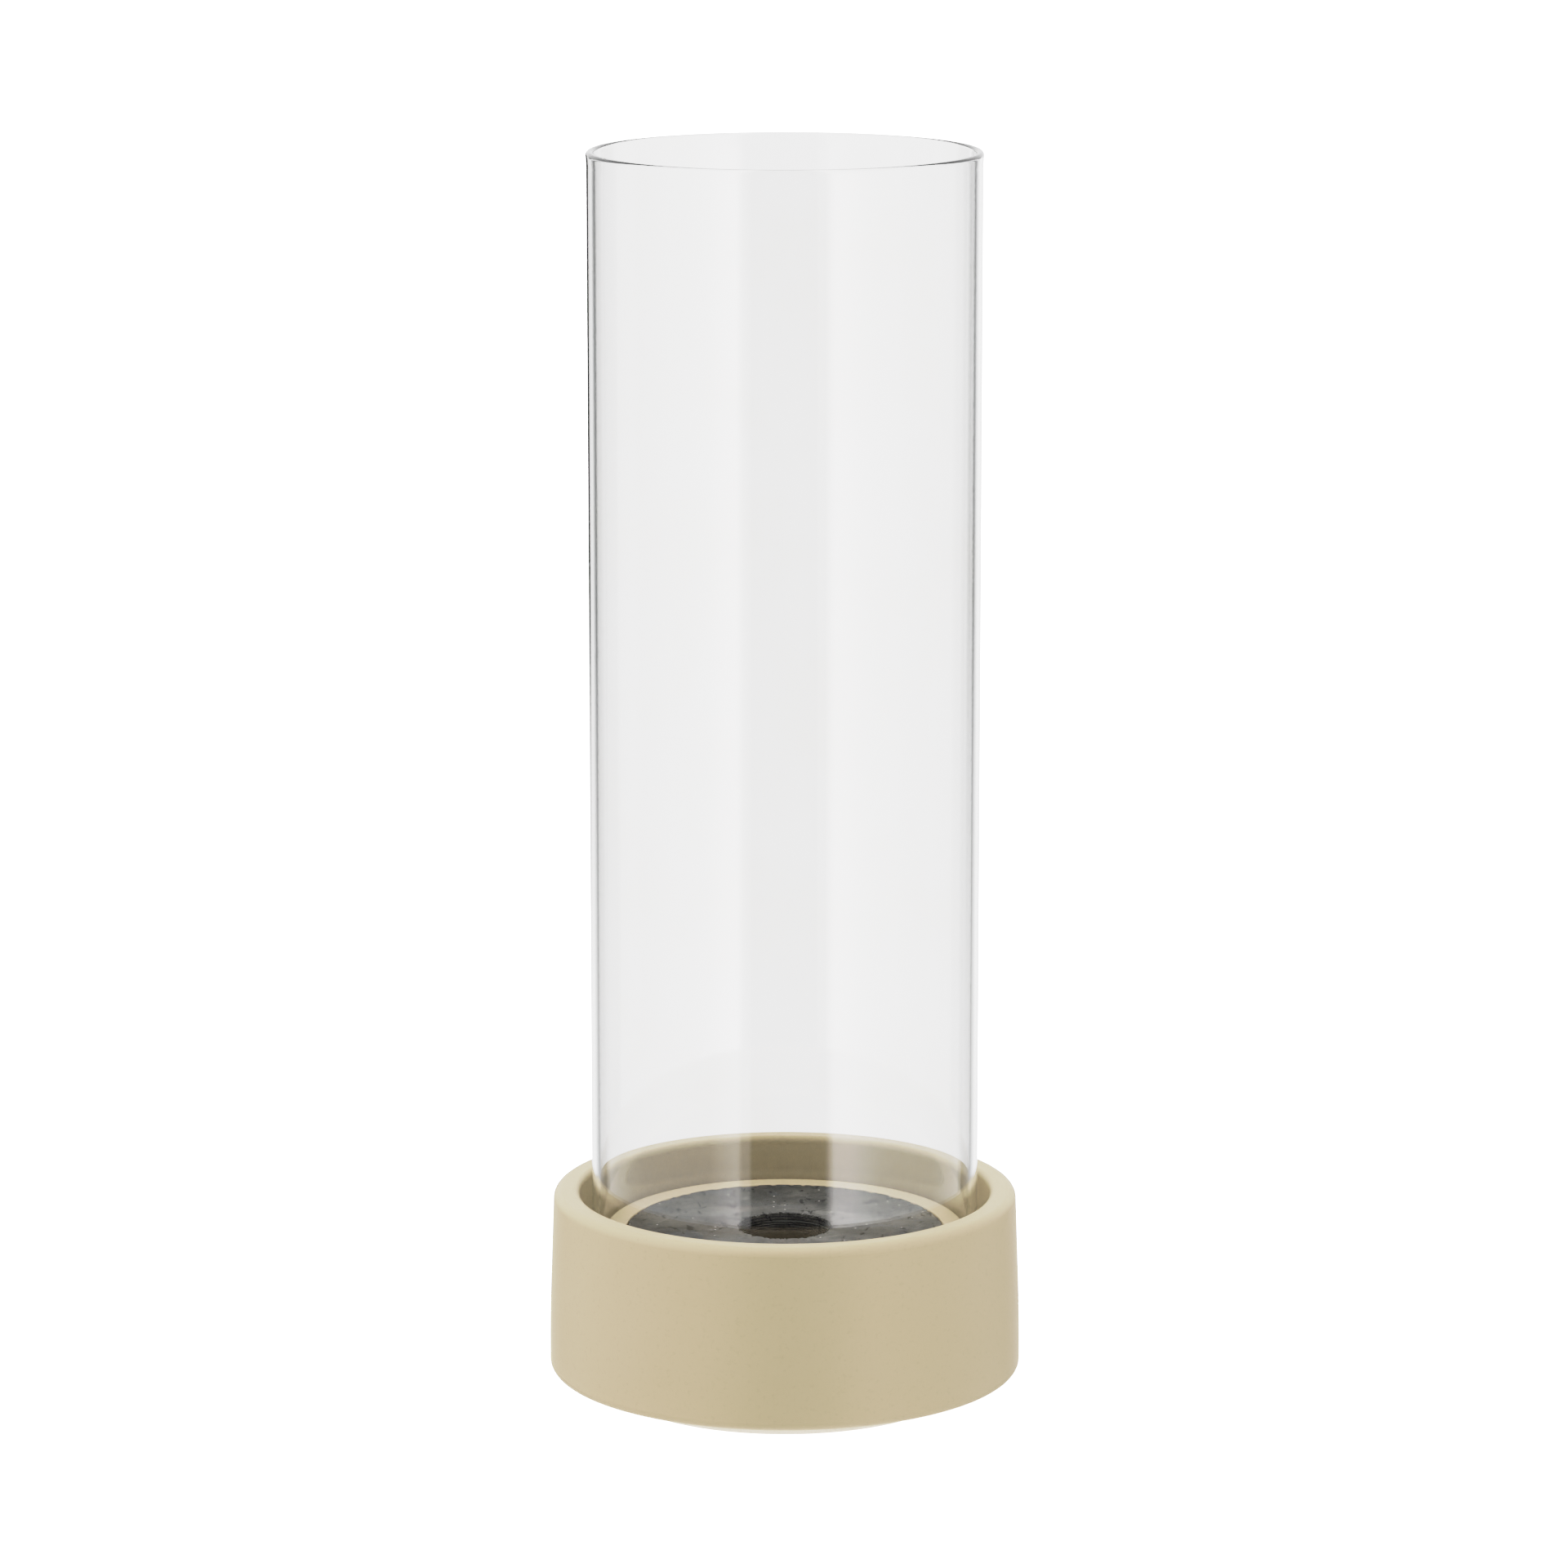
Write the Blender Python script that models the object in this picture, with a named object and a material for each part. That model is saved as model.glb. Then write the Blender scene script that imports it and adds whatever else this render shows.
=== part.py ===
"""Hurricane candle lantern: ceramic base, foot ring, slate disc and glass cylinder.

Units are metres and +Z is up. The origin is the middle of the foot ring's underside, on the
surface that the lantern stands on. Z is the axis of every piece, and of both lift-off slides.
"""
import math
import random

import bmesh
import bpy
from mathutils import Matrix, Vector

MM = 0.001

# Fineness of the turned surfaces
SEGMENTS = 48
MERGE_DISTANCE = 0.001 * MM
SHARP_ANGLE = math.radians(38)

# Clearance under a piece that rests on another
SEAT_GAP = 0.3 * MM

# Heights above the surface that the lantern stands on
WALL_FOOT_HEIGHT = 5.3 * MM
DECK_HEIGHT = 42.5 * MM
RIM_HEIGHT = 52.7 * MM
GLASS_TOP = 321.8 * MM

# Glass cylinder: an open tube with melted ends, and a lip that opens slightly
GLASS_RADIUS = 50.0 * MM
GLASS_WALL = 2.05 * MM
GLASS_LENGTH = 300.0 * MM
LIP_FLARE = 0.2 * MM
LIP_LENGTH = 4.0 * MM
GLASS_END_ROUND = 0.9 * MM
GLASS_BOTTOM = GLASS_TOP - GLASS_LENGTH

# Slate disc, let into the deck with its top flush
SLATE_RADIUS = 41.0 * MM
SLATE_THICKNESS = 5.1 * MM
SLATE_HOLE_RADIUS = 11.9 * MM
SLATE_LAYERS = 3
SLATE_CHIP = 0.35 * MM
SLATE_SEED = 7
SLATE_BOTTOM = DECK_HEIGHT - SLATE_THICKNESS

# Ceramic base: outer wall, groove for the glass, raised deck and candle socket
CERAMIC_WALL = 7.0 * MM
BASE_RADIUS = 61.1 * MM
SHOULDER_RADIUS = 59.9 * MM
SWELL_HEIGHT = 19.0 * MM
SWELL_ROUND = 500.0 * MM
RIM_OUTER_ROUND = 2.2 * MM
RIM_INNER_ROUND = 1.5 * MM
WALL_FOOT_ROUND = 2.2 * MM
GROOVE_RADIUS = 53.2 * MM
GROOVE_FLOOR = GLASS_BOTTOM - SEAT_GAP
GROOVE_ROUND = 2.0 * MM
DECK_RADIUS = 47.2 * MM
DECK_ROUND = 0.7 * MM
EDGE_BREAK = 0.4 * MM
RECESS_RADIUS = SLATE_RADIUS + 0.3 * MM
RECESS_FLOOR = SLATE_BOTTOM - SEAT_GAP
SOCKET_RADIUS = 15.0 * MM
SOCKET_FLOOR = 17.5 * MM
UNDERSIDE_ROUND = 2.0 * MM
GROOVE_UNDERSIDE = GROOVE_FLOOR - CERAMIC_WALL
DECK_UNDERSIDE = RECESS_FLOOR - CERAMIC_WALL
SOCKET_UNDERSIDE = SOCKET_FLOOR - CERAMIC_WALL
BOSS_RADIUS = SOCKET_RADIUS + CERAMIC_WALL

# Foot ring, fixed under the ceramic foot
FOOT_OUTER_RADIUS = 46.0 * MM
FOOT_INNER_RADIUS = 40.0 * MM
FOOT_RING_HEIGHT = 3.0 * MM
FOOT_ROUND = 0.5 * MM
CERAMIC_FOOT_HEIGHT = FOOT_RING_HEIGHT + SEAT_GAP

# Colours as 8-bit sRGB
CERAMIC_COLOUR = (200, 186, 155)
FOOT_COLOUR = (224, 214, 197)
SLATE_COLOUR = (72, 72, 68)
GLASS_COLOUR = (246, 248, 247)


def clear_scene():
    """Remove every object that the file starts with."""
    for obj in list(bpy.data.objects):
        bpy.data.objects.remove(obj, do_unlink=True)


def linear(channel):
    """Turn one 8-bit sRGB channel into a linear value."""
    value = channel / 255
    if value <= 0.04045:
        return value / 12.92
    return ((value + 0.055) / 1.055) ** 2.4


def make_material(name, colour, roughness, transmission=0.0):
    """Make a Principled material from an sRGB colour."""
    material = bpy.data.materials.new(name)
    material.use_nodes = True
    shader = material.node_tree.nodes["Principled BSDF"]
    shader.inputs["Base Color"].default_value = (*map(linear, colour), 1.0)
    shader.inputs["Roughness"].default_value = roughness
    shader.inputs["Metallic"].default_value = 0.0
    shader.inputs["Transmission Weight"].default_value = transmission
    return material


def fillet(before, corner, after, size, steps):
    """Points of the arc that rounds the corner between two straight sides."""
    to_before = (before - corner).normalized()
    to_after = (after - corner).normalized()
    half_angle = to_before.angle(to_after) / 2
    centre = corner + (to_before + to_after).normalized() * size / math.sin(half_angle)
    first_arm = corner + to_before * size / math.tan(half_angle) - centre
    turn = math.copysign(math.pi - 2 * half_angle, to_before.cross(to_after))
    turns = [Matrix.Rotation(-turn * step / steps, 2) for step in range(steps + 1)]
    return [centre + rotation @ first_arm for rotation in turns]


def rounded_outline(corners):
    """Turn (radius, height, rounding, steps) corners into the points of a closed outline."""
    places = [Vector((radius, height)) for radius, height, _, _ in corners]
    points = []
    for index, (_, _, size, steps) in enumerate(corners):
        if steps == 0:
            points.append(places[index])
            continue
        after = places[(index + 1) % len(places)]
        points.extend(fillet(places[index - 1], places[index], after, size, steps))
    return points


def turned_object(name, outline, height, material, parent):
    """Revolve an outline about Z and set the solid down at a height.

    An outline that starts and ends on the axis is left open there.
    """
    shape = bmesh.new()
    points = [shape.verts.new((radius, 0.0, level)) for radius, level in outline]
    for start, end in zip(points, points[1:] + points[:1]):
        if start.co.x > MERGE_DISTANCE or end.co.x > MERGE_DISTANCE:
            shape.edges.new((start, end))
    bmesh.ops.spin(
        shape,
        geom=shape.verts[:] + shape.edges[:],
        axis=(0.0, 0.0, 1.0),
        angle=2 * math.pi,
        steps=SEGMENTS,
        use_merge=True,
    )
    bmesh.ops.remove_doubles(shape, verts=shape.verts[:], dist=MERGE_DISTANCE)
    bmesh.ops.recalc_face_normals(shape, faces=shape.faces[:])
    mesh = bpy.data.meshes.new(name)
    shape.to_mesh(mesh)
    shape.free()
    mesh.materials.append(material)
    mesh.shade_smooth()
    mesh.set_sharp_from_angle(angle=SHARP_ANGLE)
    obj = bpy.data.objects.new(name, mesh)
    obj.location.z = height
    obj.parent = parent
    bpy.context.collection.objects.link(obj)
    return obj


def make_base(parent):
    """One ceramic casting of even wall: rim, groove, deck, socket, skirt and foot."""
    corners = [
        (0.0, SOCKET_FLOOR, 0.0, 0),
        (SOCKET_RADIUS, SOCKET_FLOOR, 1.0 * MM, 1),
        (SOCKET_RADIUS, RECESS_FLOOR, EDGE_BREAK, 1),
        (RECESS_RADIUS, RECESS_FLOOR, 0.0, 0),
        (RECESS_RADIUS, DECK_HEIGHT, EDGE_BREAK, 2),
        (DECK_RADIUS, DECK_HEIGHT, DECK_ROUND, 2),
        (DECK_RADIUS, GROOVE_FLOOR, EDGE_BREAK, 1),
        (GROOVE_RADIUS, GROOVE_FLOOR, GROOVE_ROUND, 2),
        (GROOVE_RADIUS, RIM_HEIGHT, RIM_INNER_ROUND, 3),
        (SHOULDER_RADIUS, RIM_HEIGHT, RIM_OUTER_ROUND, 4),
        (BASE_RADIUS, SWELL_HEIGHT, SWELL_ROUND, 3),
        (BASE_RADIUS, WALL_FOOT_HEIGHT, WALL_FOOT_ROUND, 4),
        (GROOVE_RADIUS, WALL_FOOT_HEIGHT, UNDERSIDE_ROUND, 1),
        (GROOVE_RADIUS, GROOVE_UNDERSIDE, UNDERSIDE_ROUND, 1),
        (FOOT_OUTER_RADIUS, GROOVE_UNDERSIDE, UNDERSIDE_ROUND, 1),
        (FOOT_OUTER_RADIUS, CERAMIC_FOOT_HEIGHT, FOOT_ROUND, 1),
        (FOOT_INNER_RADIUS, CERAMIC_FOOT_HEIGHT, FOOT_ROUND, 1),
        (FOOT_INNER_RADIUS, DECK_UNDERSIDE, UNDERSIDE_ROUND, 1),
        (BOSS_RADIUS, DECK_UNDERSIDE, UNDERSIDE_ROUND, 1),
        (BOSS_RADIUS, SOCKET_UNDERSIDE, UNDERSIDE_ROUND, 1),
        (0.0, SOCKET_UNDERSIDE, 0.0, 0),
    ]
    material = make_material("ceramic_glaze", CERAMIC_COLOUR, 0.5)
    return turned_object("ceramic_base", rounded_outline(corners), 0.0, material, parent)


def make_foot_ring(parent):
    """The pale ring that the lantern stands on."""
    corners = [
        (FOOT_INNER_RADIUS, 0.0, FOOT_ROUND, 1),
        (FOOT_OUTER_RADIUS, 0.0, FOOT_ROUND, 1),
        (FOOT_OUTER_RADIUS, FOOT_RING_HEIGHT, 0.0, 0),
        (FOOT_INNER_RADIUS, FOOT_RING_HEIGHT, 0.0, 0),
    ]
    material = make_material("foot_ring", FOOT_COLOUR, 0.8)
    return turned_object("foot_ring", rounded_outline(corners), 0.0, material, parent)


def make_slate_disc(parent):
    """The split slate disc, with chipped layers round its edge and its candle hole."""
    levels = [SLATE_THICKNESS * step / SLATE_LAYERS for step in range(SLATE_LAYERS + 1)]
    outline = [(SLATE_RADIUS, level) for level in levels]
    outline += [(SLATE_HOLE_RADIUS, level) for level in reversed(levels)]
    material = make_material("slate", SLATE_COLOUR, 0.55)
    disc = turned_object("slate_disc", outline, SLATE_BOTTOM, material, parent)
    chance = random.Random(SLATE_SEED)
    middle = (SLATE_RADIUS + SLATE_HOLE_RADIUS) / 2
    for vertex in disc.data.vertices:
        radius = vertex.co.xy.length
        chip = chance.uniform(0.0, SLATE_CHIP)
        scale = (radius - chip if radius > middle else radius + chip) / radius
        vertex.co.x *= scale
        vertex.co.y *= scale
    return disc


def make_glass_cylinder(parent):
    """The clear tube that stands in the groove and lifts off."""
    bore = GLASS_RADIUS - GLASS_WALL
    lip_start = GLASS_LENGTH - LIP_LENGTH
    corners = [
        (bore, 0.0, GLASS_END_ROUND, 2),
        (GLASS_RADIUS, 0.0, GLASS_END_ROUND, 2),
        (GLASS_RADIUS, lip_start, 0.0, 0),
        (GLASS_RADIUS + LIP_FLARE, GLASS_LENGTH, GLASS_END_ROUND, 3),
        (bore + LIP_FLARE, GLASS_LENGTH, GLASS_END_ROUND, 3),
        (bore, lip_start, 0.0, 0),
    ]
    material = make_material("clear_glass", GLASS_COLOUR, 0.02, transmission=1.0)
    return turned_object("glass_cylinder", rounded_outline(corners), GLASS_BOTTOM, material, parent)


def build_lantern():
    """Build the whole lantern under one empty at the origin."""
    clear_scene()
    lantern = bpy.data.objects.new("lantern", None)
    bpy.context.collection.objects.link(lantern)
    make_base(lantern)
    make_foot_ring(lantern)
    make_slate_disc(lantern)
    make_glass_cylinder(lantern)


build_lantern()
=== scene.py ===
"""Looks of the hurricane candle lantern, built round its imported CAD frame.

Units are metres and +Z is up, in the frame of the CAD part. Each CAD node is replaced by a
finer turned piece of the same size: glazed base, foot ring, split slate disc and glass tube.
"""
import math

import bmesh
import bpy
from mathutils import Matrix, Vector, noise


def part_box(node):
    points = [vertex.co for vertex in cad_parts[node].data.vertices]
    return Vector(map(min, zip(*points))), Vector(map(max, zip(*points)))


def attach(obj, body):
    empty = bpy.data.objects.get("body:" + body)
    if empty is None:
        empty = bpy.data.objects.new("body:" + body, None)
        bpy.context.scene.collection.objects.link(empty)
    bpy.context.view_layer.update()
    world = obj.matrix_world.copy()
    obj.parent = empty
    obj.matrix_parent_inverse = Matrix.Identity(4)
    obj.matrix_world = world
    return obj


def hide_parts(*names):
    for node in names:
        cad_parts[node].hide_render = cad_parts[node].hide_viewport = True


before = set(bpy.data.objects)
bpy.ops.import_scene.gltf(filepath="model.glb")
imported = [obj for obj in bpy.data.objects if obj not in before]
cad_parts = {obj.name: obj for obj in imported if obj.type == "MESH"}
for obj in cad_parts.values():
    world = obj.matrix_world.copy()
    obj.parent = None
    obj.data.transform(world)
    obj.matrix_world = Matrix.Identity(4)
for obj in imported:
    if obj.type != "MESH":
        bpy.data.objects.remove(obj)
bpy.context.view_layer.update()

MM = 0.001

# Fineness of the turned pieces
TURN_STEPS = 256
GLASS_STEPS = 720
ARC_STEPS = 6
HOLD = 0.25 * MM
HELD_LENGTH = 8 * HOLD
MERGE_DISTANCE = 0.001 * MM
SHARP_ANGLE = math.radians(50)

# How far the outermost surfaces stay inside the frame's box
WITHIN = 0.001 * MM

# The frame's own sizes
BASE_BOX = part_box("ceramic_base")
FOOT_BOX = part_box("foot_ring")
SLATE_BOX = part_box("slate_disc")
GLASS_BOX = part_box("glass_cylinder")
RIM_HEIGHT = BASE_BOX[1].z
BASE_RADIUS = BASE_BOX[1].x - WITHIN
CERAMIC_FOOT_HEIGHT = BASE_BOX[0].z
DECK_HEIGHT = SLATE_BOX[1].z
SLATE_BOTTOM = SLATE_BOX[0].z
SLATE_RADIUS = SLATE_BOX[1].x
GLASS_BOTTOM = GLASS_BOX[0].z
GLASS_TOP = GLASS_BOX[1].z

# Ceramic base
SEAT_GAP = 0.3 * MM
CERAMIC_WALL = 7.0 * MM
WALL_FOOT_HEIGHT = 5.3 * MM
WALL_FOOT_ROUND = 2.2 * MM
SWELL_HEIGHT = 19.0 * MM
SWELL_ROUND = 500.0 * MM
SHOULDER_RADIUS = BASE_RADIUS - 1.2 * MM
RIM_OUTER_ROUND = 2.2 * MM
RIM_INNER_ROUND = 1.5 * MM
GROOVE_RADIUS = 53.2 * MM
GROOVE_FLOOR = GLASS_BOTTOM - SEAT_GAP
GROOVE_ROUND = 2.0 * MM
DECK_RADIUS = 47.2 * MM
DECK_ROUND = 0.7 * MM
EDGE_BREAK = 0.4 * MM
RECESS_RADIUS = 41.3 * MM
RECESS_FLOOR = SLATE_BOTTOM - SEAT_GAP
SOCKET_RADIUS = 15.0 * MM
SOCKET_FLOOR = 17.5 * MM
SOCKET_ROUND = 1.0 * MM
UNDERSIDE_ROUND = 2.0 * MM
GLAZE_SPAN = 60.0 * MM

# Foot ring
FOOT_OUTER_RADIUS = FOOT_BOX[1].x
FOOT_INNER_RADIUS = FOOT_OUTER_RADIUS - 6.0 * MM
FOOT_ROUND = 0.5 * MM

# Slate disc: split layers, chipped edges and a cleft top
SLATE_HOLE_RADIUS = 11.9 * MM
SLATE_STEPS = 600
SLATE_TOP_RINGS = 56
LAYER_TOPS = (0.16, 0.29, 0.44, 0.56, 0.69, 0.84, 1.0)
LAYER_RAGGED = 0.30 * MM
CREVICE_DEPTH = 0.75 * MM
CREVICE_HEIGHT = 0.28 * MM
BREAK_DEPTH = 1.7 * MM
CHIP_DROP = 0.45 * MM
CHIP_BACK = 0.7 * MM
CHIP_REACH = 0.9 * MM
EDGE_WEAR = 0.3 * MM
CHIP_BACK_REACH = 1.2 * MM
CLEFT_DEPTH = 0.12 * MM
CLEFT_SCALE = 55.0
GRAIN_SCALE = 900.0
HOLE_SHADE = 0.8

# Rows of the slate's noise, so that no two edges or layers break alike
ROW_BREAK = 30
ROW_OUTER_WALL = 40
ROW_PALE = 50
ROW_HOLE_EDGE = 60
ROW_OUTER_EDGE = 70

# Glass tube
GLASS_WALL = 2.05 * MM
LIP_FLARE = 0.2 * MM
LIP_LENGTH = 4.0 * MM
GLASS_RADIUS = GLASS_BOX[1].x - LIP_FLARE
GLASS_END_ROUND = 0.95 * MM

# Camera and floor
CAMERA_PLACE = Vector((-0.0002, -1.5552, 0.4731))
CAMERA_TILT = math.radians(11.194)
CAMERA_LENS = 142.13
CAMERA_SHIFT = -0.0144
FLOOR_SIZE = 16.0
FLOOR_SPAN = 100.0 * MM
FLOOR_GLOW = 0.35
FLOOR_GLOW_SEEN = 1.75
FLOOR_GLOW_NEAR = 1.7

# Strengths of the studio light
SOFT_LIGHT = 2.0
PANEL_LIGHT = 5.0
BACKDROP_THROUGH_GLASS = 1.8
BACKDROP = 8.0

# Tone curve: scene value and shown value
TONE_WHITE = 4.0
TONE_POINTS = (
    (0.25, 0.24),
    (0.5, 0.49),
    (0.85, 0.70),
    (1.5, 0.83),
    (2.0, 0.885),
    (3.0, 0.96),
)


# ---------------------------------------------------------------- shapes


def fillet(before, corner, after, size, steps):
    """Points of the arc that rounds the corner between two straight sides."""
    to_before = (before - corner).normalized()
    to_after = (after - corner).normalized()
    half_angle = to_before.angle(to_after) / 2
    centre = corner + (to_before + to_after).normalized() * size / math.sin(half_angle)
    first_arm = corner + to_before * size / math.tan(half_angle) - centre
    turn = math.copysign(math.pi - 2 * half_angle, to_before.cross(to_after))
    turns = [Matrix.Rotation(-turn * step / steps, 2) for step in range(steps + 1)]
    return [centre + rotation @ first_arm for rotation in turns]


def rounded_outline(corners):
    """Turn (radius, height, rounding) corners into the points of a closed outline."""
    places = [Vector((radius, height)) for radius, height, _ in corners]
    points = []
    for index, (_, _, size) in enumerate(corners):
        if size == 0:
            points.append(places[index])
            continue
        after = places[(index + 1) % len(places)]
        points.extend(fillet(places[index - 1], places[index], after, size, ARC_STEPS))
    return points


def held(points):
    """Add points just inside the ends of long straight sides, which keep their normals true."""
    result = []
    for index, point in enumerate(points):
        side = points[(index + 1) % len(points)] - point
        result.append(point)
        if side.length > HELD_LENGTH and point.x + side.x > MERGE_DISTANCE:
            result.append(point + side.normalized() * HOLD)
            result.append(point + side - side.normalized() * HOLD)
    return result


def finish_piece(name, shape, material, body, node):
    """Turn a bmesh into a smooth piece that rides on a body and stands for a CAD node."""
    bmesh.ops.recalc_face_normals(shape, faces=shape.faces[:])
    mesh = bpy.data.meshes.new(name)
    shape.to_mesh(mesh)
    shape.free()
    mesh.materials.append(material)
    mesh.shade_smooth()
    mesh.set_sharp_from_angle(angle=SHARP_ANGLE)
    piece = bpy.data.objects.new(name, mesh)
    bpy.context.scene.collection.objects.link(piece)
    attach(piece, body)
    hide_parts(node)


def turned_shape(outline, steps=TURN_STEPS):
    """Revolve a closed outline about Z; an outline that starts on the axis is open there."""
    shape = bmesh.new()
    points = [shape.verts.new((radius, 0.0, level)) for radius, level in held(outline)]
    for start, end in zip(points, points[1:] + points[:1]):
        if start.co.x > MERGE_DISTANCE or end.co.x > MERGE_DISTANCE:
            shape.edges.new((start, end))
    bmesh.ops.spin(
        shape,
        geom=shape.verts[:] + shape.edges[:],
        axis=(0.0, 0.0, 1.0),
        angle=2 * math.pi,
        steps=steps,
        use_merge=True,
    )
    bmesh.ops.remove_doubles(shape, verts=shape.verts[:], dist=MERGE_DISTANCE)
    return shape


def make_base():
    """The glazed ceramic base."""
    groove_underside = GROOVE_FLOOR - CERAMIC_WALL
    deck_underside = RECESS_FLOOR - CERAMIC_WALL
    socket_underside = SOCKET_FLOOR - CERAMIC_WALL
    boss_radius = SOCKET_RADIUS + CERAMIC_WALL
    corners = [
        (0.0, SOCKET_FLOOR, 0.0),
        (SOCKET_RADIUS, SOCKET_FLOOR, SOCKET_ROUND),
        (SOCKET_RADIUS, RECESS_FLOOR, EDGE_BREAK),
        (RECESS_RADIUS, RECESS_FLOOR, 0.0),
        (RECESS_RADIUS, DECK_HEIGHT, EDGE_BREAK),
        (DECK_RADIUS, DECK_HEIGHT, DECK_ROUND),
        (DECK_RADIUS, GROOVE_FLOOR, EDGE_BREAK),
        (GROOVE_RADIUS, GROOVE_FLOOR, GROOVE_ROUND),
        (GROOVE_RADIUS, RIM_HEIGHT, RIM_INNER_ROUND),
        (SHOULDER_RADIUS, RIM_HEIGHT, RIM_OUTER_ROUND),
        (BASE_RADIUS, SWELL_HEIGHT, SWELL_ROUND),
        (BASE_RADIUS, WALL_FOOT_HEIGHT, WALL_FOOT_ROUND),
        (GROOVE_RADIUS, WALL_FOOT_HEIGHT, UNDERSIDE_ROUND),
        (GROOVE_RADIUS, groove_underside, UNDERSIDE_ROUND),
        (FOOT_OUTER_RADIUS, groove_underside, UNDERSIDE_ROUND),
        (FOOT_OUTER_RADIUS, CERAMIC_FOOT_HEIGHT, FOOT_ROUND),
        (FOOT_INNER_RADIUS, CERAMIC_FOOT_HEIGHT, FOOT_ROUND),
        (FOOT_INNER_RADIUS, deck_underside, UNDERSIDE_ROUND),
        (boss_radius, deck_underside, UNDERSIDE_ROUND),
        (boss_radius, socket_underside, UNDERSIDE_ROUND),
        (0.0, socket_underside, 0.0),
    ]
    shape = turned_shape(rounded_outline(corners))
    finish_piece("base_glazed", shape, ceramic_material(), "base", "ceramic_base")


def make_foot_ring():
    """The pale ring that the lantern stands on."""
    top = FOOT_BOX[1].z
    corners = [
        (FOOT_INNER_RADIUS, WITHIN, FOOT_ROUND),
        (FOOT_OUTER_RADIUS, WITHIN, FOOT_ROUND),
        (FOOT_OUTER_RADIUS, top, 0.0),
        (FOOT_INNER_RADIUS, top, 0.0),
    ]
    shape = turned_shape(rounded_outline(corners))
    finish_piece("foot_pad_ring", shape, foot_material(), "base", "foot_ring")


def make_glass():
    """The glass tube, with melted ends and a lip that opens slightly."""
    bore = GLASS_RADIUS - GLASS_WALL
    lip_start = GLASS_TOP - LIP_LENGTH
    corners = [
        (bore, GLASS_BOTTOM, GLASS_END_ROUND),
        (GLASS_RADIUS, GLASS_BOTTOM, GLASS_END_ROUND),
        (GLASS_RADIUS, lip_start, 0.0),
        (GLASS_RADIUS + LIP_FLARE, GLASS_TOP, GLASS_END_ROUND),
        (bore + LIP_FLARE, GLASS_TOP, GLASS_END_ROUND),
        (bore, lip_start, 0.0),
    ]
    shape = turned_shape(rounded_outline(corners), GLASS_STEPS)
    finish_piece("glass_tube", shape, glass_material(), "glass", "glass_cylinder")


def band_noise(angle, frequency, row):
    """Noise round a circle, from -1 to 1, different for each row."""
    spot = Vector((math.cos(angle), math.sin(angle), 0.0)) * frequency
    return noise.noise(spot + Vector((row * 7.31, row * 3.17, row * 5.71)))


def wall_profile():
    """Levels through the slate's wall as (height, layer, in a crevice), from the bottom up."""
    thickness = DECK_HEIGHT - SLATE_BOTTOM
    levels = []
    start = SLATE_BOTTOM
    for layer, share in enumerate(LAYER_TOPS):
        end = SLATE_BOTTOM + thickness * share
        levels += [(start, layer, False), (end - CREVICE_HEIGHT, layer, False)]
        if share < 1.0:
            levels += [(end - CREVICE_HEIGHT, layer, True), (end, layer, True)]
        start = end
    return levels


def broken(angle):
    """How far the top layer has broken away at an angle: more on the far side of the disc."""
    share = 0.3 + 0.7 * max(0.0, math.sin(angle))
    coarse = max(0.0, band_noise(angle, 2.6, ROW_BREAK) + 0.15)
    fine = max(0.0, band_noise(angle, 11.0, ROW_BREAK + 1))
    return BREAK_DEPTH * share * min(1.0, 0.3 + 0.9 * coarse + 0.8 * fine)


def layer_back(angle, layer, crevice):
    """How far a split layer stands back from the cut wall at an angle."""
    back = LAYER_RAGGED * (0.5 + 0.5 * band_noise(angle, 1.8, layer)) ** 2
    back += 0.4 * LAYER_RAGGED * max(0.0, band_noise(angle, 9.0, layer + 20))
    if crevice:
        back += CREVICE_DEPTH * (0.55 + 0.45 * band_noise(angle, 2.4, layer + 10))
    return back


def edge_chip(angle, row):
    """Depth of the bites out of a top edge, from 0 to 1."""
    fine = max(0.0, band_noise(angle, 26.0, row) - 0.05) * 1.4
    bite = max(0.0, band_noise(angle, 6.0, row + 5) - 0.34) * 2.6
    return min(1.0, fine + bite)


def wall_place(radius, side, level, layer, crevice):
    """Place function for one ring of the hole's wall (side 1) or the outer wall (side -1).

    Painted shade: the hole's lower layers are coloured darker towards the bottom, on top of the
    shade that falls on them, and crevices darkest.
    """
    row = layer if side > 0 else layer + ROW_OUTER_WALL
    hollow_shade = HOLE_SHADE * (1.0 - (layer + 1) / len(LAYER_TOPS)) if side > 0 else 0.0
    if crevice:
        hollow_shade = 1.0

    def place(angle):
        back = layer_back(angle, row, crevice)
        if side > 0 and layer == len(LAYER_TOPS) - 1:
            back += broken(angle)
        pale = 0.0
        if layer > 1 and not crevice:
            pale = max(0.0, band_noise(angle, 1.3, row + ROW_PALE))
        return radius + side * back, level, 0.0, hollow_shade, pale
    return place


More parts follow.
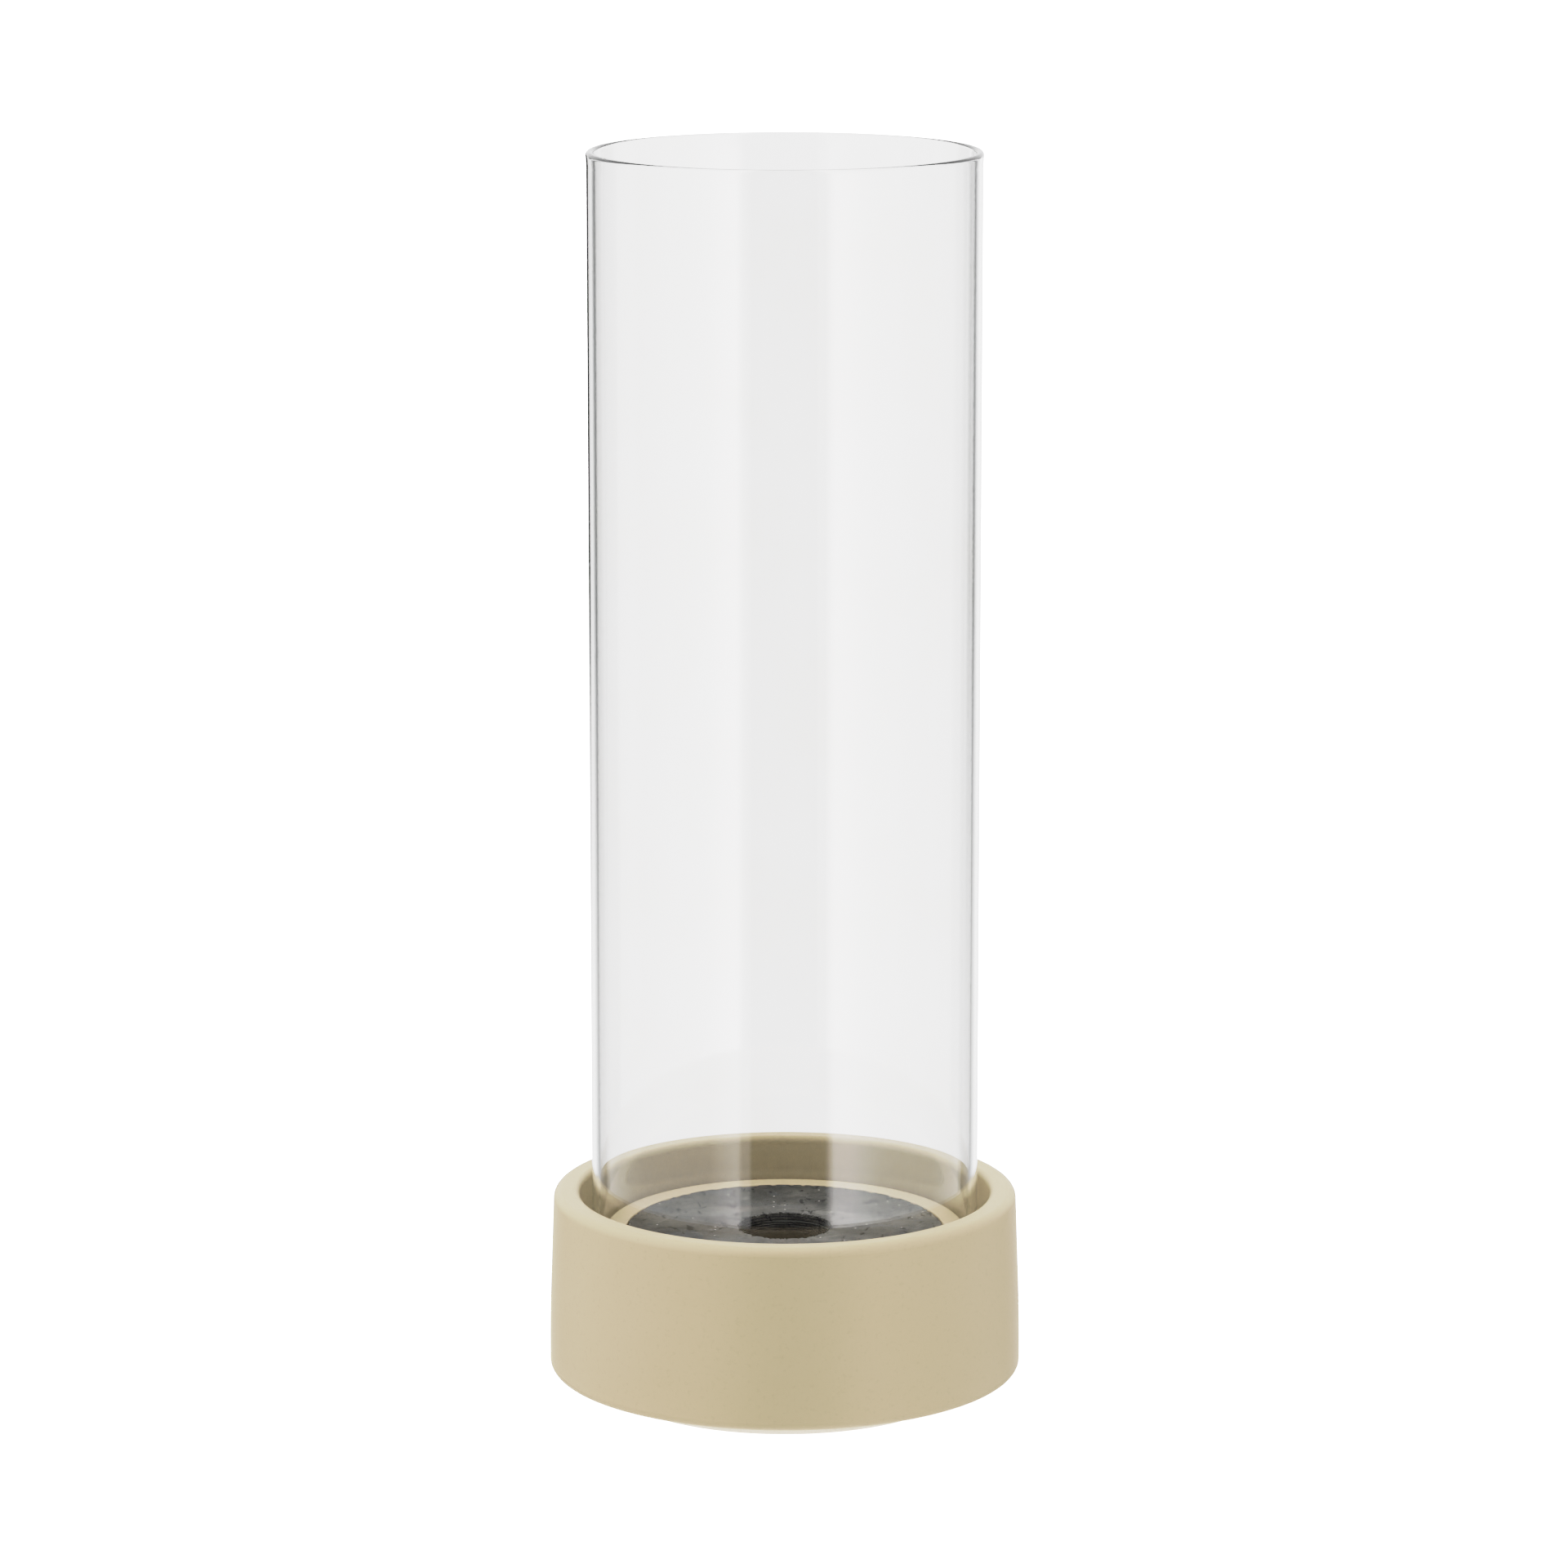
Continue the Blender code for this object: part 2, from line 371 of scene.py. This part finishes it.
def top_place(share):
    """Place function for one ring of the cleft top, from the hole (0) to the outer edge (1)."""
    near_hole = share < 0.5
    side = 1 if near_hole else -1
    row = ROW_HOLE_EDGE if near_hole else ROW_OUTER_EDGE

    def place(angle):
        start = SLATE_HOLE_RADIUS + broken(angle)
        radius = start + (SLATE_RADIUS - start) * share
        flat = Vector((radius * math.cos(angle), radius * math.sin(angle), 0.0))
        cleft = noise.fractal(flat * CLEFT_SCALE, 0.8, 2.1, 4)
        fine = 0.5 + 0.5 * noise.noise(flat * GRAIN_SCALE)
        drop = CLEFT_DEPTH * (0.75 * max(0.0, min(1.0, 0.5 + cleft)) + 0.25 * fine)
        from_edge = min(radius - start, SLATE_RADIUS - radius)
        chip = edge_chip(angle, row)
        near = max(0.0, 1.0 - from_edge / (EDGE_WEAR + CHIP_REACH * chip))
        drop += CHIP_DROP * chip * near
        back = CHIP_BACK * chip * max(0.0, 1.0 - from_edge / CHIP_BACK_REACH) * side
        return radius + back, DECK_HEIGHT - drop, min(1.0, 1.5 * chip * near), 0.0, 0.0
    return place


def slate_ring(shape, layers, place):
    """Add a ring of points; place(angle) gives radius, height and a value for each layer."""
    ring = []
    for step in range(SLATE_STEPS):
        angle = 2 * math.pi * step / SLATE_STEPS
        radius, height, *marks = place(angle)
        vertex = shape.verts.new((radius * math.cos(angle), radius * math.sin(angle), height))
        for layer, mark in zip(layers, marks):
            vertex[layer] = mark
        ring.append(vertex)
    return ring


def make_slate():
    """The slate disc: cleft top, chipped edges and split layers in its wall."""
    levels = wall_profile()
    places = [wall_place(SLATE_HOLE_RADIUS, 1, *level) for level in levels]
    for index in range(SLATE_TOP_RINGS + 1):
        places.append(top_place(0.5 - 0.5 * math.cos(math.pi * index / SLATE_TOP_RINGS)))
    places += [wall_place(SLATE_RADIUS, -1, *level) for level in reversed(levels)]
    shape = bmesh.new()
    layers = [shape.verts.layers.float.new(name) for name in ("chipped", "hollow_shade", "pale_layer")]
    rings = [slate_ring(shape, layers, place) for place in places]
    for inner, outer in zip(rings, rings[1:] + rings[:1]):
        for step in range(SLATE_STEPS):
            after = (step + 1) % SLATE_STEPS
            shape.faces.new((inner[step], inner[after], outer[after], outer[step]))
    finish_piece("slate_plate", shape, slate_material(), "slate", "slate_disc")


# ---------------------------------------------------------------- materials


def srgb(red, green, blue):
    """An 8-bit sRGB colour as linear RGBA."""
    def linear(channel):
        value = channel / 255
        if value <= 0.04045:
            return value / 12.92
        return ((value + 0.055) / 1.055) ** 2.4
    return (linear(red), linear(green), linear(blue), 1.0)


class Nodes:
    """Short hand for building one node tree."""

    def __init__(self, tree):
        self.tree = tree

    def add(self, kind, inputs=(), **settings):
        node = self.tree.nodes.new(kind)
        for name, value in settings.items():
            setattr(node, name, value)
        for key, value in dict(inputs).items():
            self.put(node.inputs[key], value)
        return node

    def put(self, socket, value):
        """Link an output to a socket, or set its plain value."""
        if isinstance(value, bpy.types.NodeSocket):
            self.tree.links.new(value, socket)
        else:
            socket.default_value = value

    def math(self, operation, *values, clamp=False):
        node = self.add("ShaderNodeMath", operation=operation, use_clamp=clamp)
        for socket, value in zip(node.inputs, values):
            self.put(socket, value)
        return node.outputs[0]

    def noise(self, scale, detail=3.0, roughness=0.5, distortion=0.0, stretch=None):
        place = self.add("ShaderNodeTexCoord").outputs["Object"]
        if stretch is not None:
            mapping = self.add("ShaderNodeMapping", {"Vector": place, "Scale": stretch})
            place = mapping.outputs[0]
        node = self.add(
            "ShaderNodeTexNoise",
            {
                "Vector": place,
                "Scale": scale,
                "Detail": detail,
                "Roughness": roughness,
                "Distortion": distortion,
            },
        )
        return node.outputs["Fac"]

    def radius(self, scale):
        """Distance from the object's own Z axis, times a scale."""
        place = self.add("ShaderNodeTexCoord").outputs["Object"]
        across = self.add("ShaderNodeMapping", {"Vector": place, "Scale": (scale, scale, 0.0)})
        length = self.add("ShaderNodeVectorMath", {0: across.outputs[0]}, operation="LENGTH")
        return length.outputs["Value"]

    def height(self, scale):
        """Height in the object's own frame, times a scale."""
        place = self.add("ShaderNodeTexCoord").outputs["Object"]
        level = self.add("ShaderNodeSeparateXYZ", {0: place}).outputs["Z"]
        return self.math("MULTIPLY", level, scale)

    def flecks(self, scale, size, share):
        """Small scattered dots, one at most in each cell of a Voronoi pattern."""
        place = self.add("ShaderNodeTexCoord").outputs["Object"]
        cells = self.add(
            "ShaderNodeTexVoronoi", {"Vector": place, "Scale": scale}, voronoi_dimensions="2D"
        )
        chosen = self.math("LESS_THAN", self.first(cells.outputs["Color"]), share)
        inside = self.math("LESS_THAN", cells.outputs["Distance"], size)
        return self.math("MULTIPLY", chosen, inside)

    def first(self, colour):
        """The red channel of a colour."""
        return self.add("ShaderNodeSeparateColor", {0: colour}).outputs[0]

    def ramp(self, value, stops, interpolation="LINEAR"):
        """A colour ramp; each stop is (position, colour or grey)."""
        node = self.add("ShaderNodeValToRGB", {"Fac": value})
        ramp = node.color_ramp
        ramp.interpolation = interpolation
        while len(ramp.elements) < len(stops):
            ramp.elements.new(0.5)
        for element, (position, colour) in zip(ramp.elements, stops):
            element.position = position
            if isinstance(colour, (int, float)):
                colour = (colour, colour, colour, 1.0)
            element.color = colour
        return node.outputs["Color"]

    def mix(self, share, first, second, blend="MIX"):
        node = self.add("ShaderNodeMix", data_type="RGBA", blend_type=blend)
        self.put(node.inputs["Factor"], share)
        colours = [socket for socket in node.inputs if socket.type == "RGBA"]
        self.put(colours[0], first)
        self.put(colours[1], second)
        return next(socket for socket in node.outputs if socket.type == "RGBA")

    def bump(self, height, distance, strength=1.0, normal=None):
        inputs = {"Height": height, "Distance": distance, "Strength": strength}
        if normal is not None:
            inputs["Normal"] = normal
        return self.add("ShaderNodeBump", inputs).outputs[0]


def new_material(name):
    """A material with a Principled shader, and the helper for its nodes."""
    material = bpy.data.materials.new(name)
    material.use_nodes = True
    nodes = Nodes(material.node_tree)
    return material, nodes, material.node_tree.nodes["Principled BSDF"]


def ceramic_material():
    """Satin beige glaze, with painted shade in the groove; the socket is painted darker than clay,
    as deep shade.
    """
    material, nodes, shader = new_material("satin_glaze")
    clouds = nodes.noise(38.0, 4.0, 0.55)
    grain = nodes.noise(900.0, 2.0, 0.6)
    colour = nodes.mix(clouds, srgb(194, 177, 143), srgb(198, 182, 151))
    specks = nodes.ramp(grain, [(0.30, 1.0), (0.42, 0.0)])
    colour = nodes.mix(nodes.math("MULTIPLY", specks, 0.10), colour, srgb(150, 134, 104))
    # Painted shade: the groove and the rim's inner wall are coloured darker where shade falls.
    groove_shade = nodes.ramp(
        nodes.radius(1 / GLAZE_SPAN),
        [(0.775, 0.0), (0.79, 1.0), (0.887, 1.0), (0.905, 0.0)],
    )
    colour = nodes.mix(groove_shade, colour, srgb(183, 169, 134))
    # Painted shade: the candle socket is coloured near-black, darkest just under the slate, for the
    # deep shade there.
    socket = nodes.ramp(nodes.radius(1 / GLAZE_SPAN), [(0.275, 1.0), (0.29, 0.0)])
    depth = nodes.ramp(nodes.height(1 / GLAZE_SPAN), [(0.56, 0.0), (0.60, 1.0)])
    socket_shade = nodes.mix(depth, srgb(66, 58, 45), srgb(18, 16, 11))
    colour = nodes.mix(socket, colour, socket_shade)
    nodes.put(shader.inputs["Base Color"], colour)
    rough = nodes.math("MULTIPLY_ADD", clouds, 0.12, 0.42)
    nodes.put(shader.inputs["Roughness"], rough)
    shader.inputs["IOR"].default_value = 1.5
    waves = nodes.bump(nodes.noise(70.0, 2.0), 0.25 * MM, 0.35)
    nodes.put(shader.inputs["Normal"], nodes.bump(grain, 0.02 * MM, 0.5, waves))
    return material


def foot_material():
    """Pale unglazed ring: chalky, with fine pores."""
    material, nodes, shader = new_material("pale_foot")
    pores = nodes.noise(1400.0, 3.0, 0.6)
    clouds = nodes.noise(60.0, 3.0)
    colour = nodes.mix(clouds, srgb(226, 216, 198), srgb(216, 204, 184))
    colour = nodes.mix(nodes.ramp(pores, [(0.28, 0.35), (0.45, 0.0)]), colour, srgb(150, 136, 112))
    nodes.put(shader.inputs["Base Color"], colour)
    nodes.put(shader.inputs["Roughness"], nodes.math("MULTIPLY_ADD", pores, 0.2, 0.7))
    nodes.put(shader.inputs["Normal"], nodes.bump(pores, 0.05 * MM, 0.6))
    return material


def slate_material():
    """Dark split slate: mottled grey, faint rust and blue, scuffs, scratches and pale chips."""
    material, nodes, shader = new_material("split_slate")
    patches = nodes.noise(95.0, 6.0, 0.62, 0.4)
    cloudy = nodes.noise(34.0, 3.0, 0.5, 0.6)
    grain = nodes.noise(1300.0, 3.0, 0.7)
    pitting = nodes.noise(380.0, 4.0, 0.65)
    mottle = nodes.ramp(patches, [(0.40, 0.0), (0.60, 1.0)])
    colour = nodes.mix(mottle, srgb(44, 44, 39), srgb(76, 75, 69))
    rust = nodes.ramp(nodes.noise(48.0, 3.0, 0.6, 0.8), [(0.54, 0.0), (0.66, 1.0)])
    colour = nodes.mix(nodes.math("MULTIPLY", rust, 0.35), colour, srgb(88, 74, 66))
    blue = nodes.ramp(nodes.noise(61.0, 3.0, 0.6, 1.1), [(0.55, 0.0), (0.68, 1.0)])
    colour = nodes.mix(nodes.math("MULTIPLY", blue, 0.25), colour, srgb(62, 74, 90))
    pits = nodes.ramp(pitting, [(0.36, 1.0), (0.43, 0.0)])
    colour = nodes.mix(nodes.math("MULTIPLY", pits, 0.7), colour, srgb(24, 24, 21))
    lines = nodes.noise(300.0, 4.0, 0.65, 0.4, (1.4, 0.6, 1.0))
    scratches = nodes.ramp(lines, [(0.36, 1.0), (0.41, 0.0)])
    scuffs = nodes.ramp(nodes.noise(150.0, 4.0, 0.7, 0.6), [(0.58, 0.0), (0.66, 1.0)])
    colour = nodes.mix(nodes.math("MULTIPLY", scuffs, 0.45), colour, srgb(126, 125, 118))
    colour = nodes.mix(nodes.math("MULTIPLY", scratches, 0.85), colour, srgb(20, 20, 18))
    layers = nodes.add("ShaderNodeAttribute", attribute_name="pale_layer").outputs["Fac"]
    colour = nodes.mix(layers, colour, srgb(118, 120, 114))
    # Painted shade: crevices between the split layers and the hole's lower layers are darkened.
    hollow_shades = nodes.add("ShaderNodeAttribute", attribute_name="hollow_shade").outputs["Fac"]
    colour = nodes.mix(nodes.math("MULTIPLY", hollow_shades, 0.95), colour, srgb(14, 13, 11))
    chips = nodes.add("ShaderNodeAttribute", attribute_name="chipped").outputs["Fac"]
    broken_edge = nodes.math("MULTIPLY", chips, nodes.ramp(grain, [(0.50, 0.0), (0.62, 1.0)]))
    pale = nodes.math("MAXIMUM", broken_edge, nodes.flecks(330.0, 0.08, 0.07), clamp=True)
    colour = nodes.mix(pale, colour, srgb(205, 203, 197))
    nodes.put(shader.inputs["Base Color"], colour)
    rough = nodes.math("MULTIPLY_ADD", nodes.ramp(cloudy, [(0.35, 0.0), (0.65, 1.0)]), 0.3, 0.4)
    rough = nodes.math("ADD", rough, nodes.math("MULTIPLY", scratches, 0.3), clamp=True)
    nodes.put(shader.inputs["Roughness"], rough)
    shader.inputs["IOR"].default_value = 1.45
    relief = nodes.bump(patches, 0.45 * MM, 0.8)
    relief = nodes.bump(pitting, 0.18 * MM, 0.8, relief)
    relief = nodes.bump(lines, 0.2 * MM, 0.5, relief)
    nodes.put(shader.inputs["Normal"], nodes.bump(grain, 0.05 * MM, 0.6, relief))
    return material


def glass_material():
    """Clear glass, faintly smudged; shadow rays and soft light pass straight through it."""
    material, nodes, shader = new_material("clear_glass")
    smudges = nodes.ramp(nodes.noise(26.0, 4.0, 0.6, 0.6), [(0.45, 0.0), (0.75, 1.0)])
    tint = nodes.mix(smudges, srgb(254, 254, 254), srgb(252, 251, 249))
    nodes.put(shader.inputs["Base Color"], tint)
    shader.inputs["Roughness"].default_value = 0.0
    shader.inputs["IOR"].default_value = 1.5
    shader.inputs["Transmission Weight"].default_value = 1.0
    light_path = nodes.add("ShaderNodeLightPath")
    unbent = nodes.math(
        "MAXIMUM", light_path.outputs["Is Shadow Ray"], light_path.outputs["Is Diffuse Ray"]
    )
    clear = nodes.add("ShaderNodeBsdfTransparent", {"Color": (0.95, 0.95, 0.95, 1.0)})
    both = nodes.add("ShaderNodeMixShader", {0: unbent})
    nodes.put(both.inputs[1], shader.outputs[0])
    nodes.put(both.inputs[2], clear.outputs[0])
    output = next(node for node in material.node_tree.nodes if node.type == "OUTPUT_MATERIAL")
    nodes.put(output.inputs["Surface"], both.outputs[0])
    return material


# ---------------------------------------------------------------- studio


def make_floor():
    """A large pale floor: brighter to the camera than as a light, and glowing under the lantern.

    The glow stands in for light that would reach the foot ring; it leaves no contact shadow.
    """
    shape = bmesh.new()
    bmesh.ops.create_grid(shape, x_segments=1, y_segments=1, size=FLOOR_SIZE / 2)
    mesh = bpy.data.meshes.new("floor")
    shape.to_mesh(mesh)
    shape.free()
    floor = bpy.data.objects.new("floor", mesh)
    bpy.context.scene.collection.objects.link(floor)
    floor.visible_glossy = False
    floor.visible_transmission = False
    material, nodes, shader = new_material("pale_floor")
    plain = nodes.add("ShaderNodeBsdfDiffuse", {"Color": (0.3, 0.3, 0.3, 1.0)})
    bright = nodes.add("ShaderNodeBsdfDiffuse", {"Color": (5.0, 5.0, 5.0, 1.0)})
    seen = nodes.add("ShaderNodeLightPath").outputs["Is Camera Ray"]
    lit = nodes.add("ShaderNodeMixShader", {0: seen})
    nodes.put(lit.inputs[1], plain.outputs[0])
    nodes.put(lit.inputs[2], bright.outputs[0])
    near = nodes.ramp(nodes.radius(1 / FLOOR_SPAN), [(0.59, 1.0), (0.63, 0.14), (0.75, 0.0)])
    strength = nodes.math("MULTIPLY_ADD", seen, FLOOR_GLOW_SEEN, FLOOR_GLOW)
    strength = nodes.math("MULTIPLY_ADD", near, FLOOR_GLOW_NEAR, strength)
    glow = nodes.add("ShaderNodeEmission", {"Strength": strength})
    both = nodes.add("ShaderNodeAddShader")
    nodes.put(both.inputs[0], lit.outputs[0])
    nodes.put(both.inputs[1], glow.outputs[0])
    output = next(node for node in material.node_tree.nodes if node.type == "OUTPUT_MATERIAL")
    nodes.put(output.inputs["Surface"], both.outputs[0])
    material.node_tree.nodes.remove(shader)
    mesh.materials.append(material)


def at(degrees):
    """An azimuth from the camera's side as a share of the circle: 0.5 is -Y, the left below it."""
    return 0.5 + degrees / 360


def panel_light(nodes, share, height):
    """Dark and bright studio panels, by azimuth: level with the glass, below it and above it."""
    sides = [
        (at(-131), 0.26),
        (at(-100), 0.26),
        (at(-46), 0.31),
        (at(-31), (0.61, 0.59, 0.60, 1.0)),
        (at(-27.5), (0.61, 0.59, 0.60, 1.0)),
        (at(-26), 0.28),
        (at(-21.2), 0.26),
        (at(-20.2), 0.01),
        (at(24.5), 0.01),
        (at(30), (0.88, 0.85, 0.86, 1.0)),
        (at(40), (0.86, 0.83, 0.84, 1.0)),
        (at(50), 0.64),
        (at(60), 0.48),
        (at(72), 0.40),
        (at(100), 0.28),
        (at(129), 0.28),
    ]
    level = nodes.ramp(
        share,
        [(at(-180), 0.40), (at(-177), 0.40), (at(-176), 0.01), (at(-163), 0.01)]
        + [(at(-161), 0.45), (at(-157), 0.40), (at(-155), 0.10), (at(-149), 0.04), (at(-134), 0.02)]
        + sides
        + [(at(131), 0.02), (at(148), 0.04), (at(154), 0.10), (at(157), 0.42), (at(180), 0.40)],
    )
    low = nodes.ramp(
        share,
        [(at(-180), 0.40), (at(-157), 0.40), (at(-155), 0.16), (at(-149), 0.10), (at(-134), 0.03)]
        + sides
        + [(at(131), 0.03), (at(148), 0.10), (at(154), 0.16), (at(157), 0.42), (at(180), 0.40)],
    )
    high = nodes.ramp(
        share,
        [(at(-180), 0.38), (at(-100), 0.30), (at(-30), 0.55), (at(-20), 0.05)]
        + [(at(25), 0.05), (at(35), 0.60), (at(100), 0.30), (at(180), 0.38)],
    )
    panels = nodes.mix(nodes.ramp(height, [(0.385, 0.0), (0.415, 1.0)]), low, level)
    panels = nodes.mix(nodes.ramp(height, [(0.49, 0.0), (0.51, 1.0)]), panels, high)
    ceiling = nodes.ramp(height, [(0.5, 1.0), (0.72, 1.0), (0.85, 0.4), (1.0, 0.4)])
    return nodes.mix(1.0, panels, ceiling, "MULTIPLY")


def soft_light(nodes, share, height):
    """The diffuse light: stronger from the left than from the right, and from above."""
    light = nodes.ramp(
        share,
        [
            (at(-180), 0.60),
            (at(-90), 1.16),
            (at(0), 0.45),
            (at(90), 0.76),
            (at(180), 0.60),
        ],
    )
    overhead = nodes.ramp(height, [(0.5, 0.6), (1.0, 1.25)])
    return nodes.mix(1.0, light, overhead, "MULTIPLY")


def make_world():
    """A studio that differs by ray: white to the camera and through glass, panels in every
    reflection, and soft light for the rest. It is tuned to the photograph, not physical."""
    world = bpy.data.worlds.new("studio")
    bpy.context.scene.world = world
    world.use_nodes = True
    tree = world.node_tree
    nodes = Nodes(tree)
    tree.nodes.clear()
    direction = nodes.add("ShaderNodeTexCoord").outputs["Generated"]
    parts = nodes.add("ShaderNodeSeparateXYZ", {0: direction})
    across, along, up = parts.outputs
    turn = nodes.math("ARCTAN2", across, nodes.math("MULTIPLY", along, -1.0))
    share = nodes.math("MULTIPLY_ADD", turn, 0.5 / math.pi, 0.5)
    height = nodes.math("MULTIPLY_ADD", up, 0.5, 0.5)
    panels = panel_light(nodes, share, height)
    light = soft_light(nodes, share, height)

    path = nodes.add("ShaderNodeLightPath")
    mirrored = nodes.math("GREATER_THAN", path.outputs["Glossy Depth"], 0.5)
    glossy = path.outputs["Is Glossy Ray"]
    reflected = nodes.math("MULTIPLY", glossy, mirrored)
    passed = nodes.math("MULTIPLY", glossy, nodes.math("SUBTRACT", 1.0, mirrored))

    def background(colour, strength):
        return nodes.add("ShaderNodeBackground", {"Color": colour, "Strength": strength}).outputs[0]

    def choose(share_, first, second):
        node = nodes.add("ShaderNodeMixShader", {0: share_})
        nodes.put(node.inputs[1], first)
        nodes.put(node.inputs[2], second)
        return node.outputs[0]

    white = (1.0, 1.0, 1.0, 1.0)
    result = background(light, SOFT_LIGHT)
    result = choose(reflected, result, background(panels, PANEL_LIGHT))
    result = choose(passed, result, background(white, BACKDROP_THROUGH_GLASS))
    result = choose(path.outputs["Is Camera Ray"], result, background(white, BACKDROP))
    nodes.add("ShaderNodeOutputWorld", {"Surface": result})


def set_tone():
    """A photographic tone curve: straight below, and a soft shoulder for the highlights."""
    view = bpy.context.scene.view_settings
    view.view_transform = "Standard"
    view.use_curve_mapping = True
    mapping = view.curve_mapping
    mapping.white_level = (TONE_WHITE, TONE_WHITE, TONE_WHITE)
    curve = mapping.curves[3]
    for place, value in TONE_POINTS:
        curve.points.new(place / TONE_WHITE, value)
    mapping.update()


def make_camera():
    """The camera, in front of the lantern and a little above it."""
    data = bpy.data.cameras.new("camera")
    data.lens = CAMERA_LENS
    data.sensor_width = 36.0
    data.shift_y = CAMERA_SHIFT
    data.clip_end = 100.0
    camera = bpy.data.objects.new("camera", data)
    camera.location = CAMERA_PLACE
    camera.rotation_euler = (math.pi / 2 - CAMERA_TILT, 0.0, 0.0)
    bpy.context.scene.collection.objects.link(camera)
    bpy.context.scene.camera = camera


make_base()
make_foot_ring()
make_slate()
make_glass()
make_floor()
make_world()
make_camera()
set_tone()
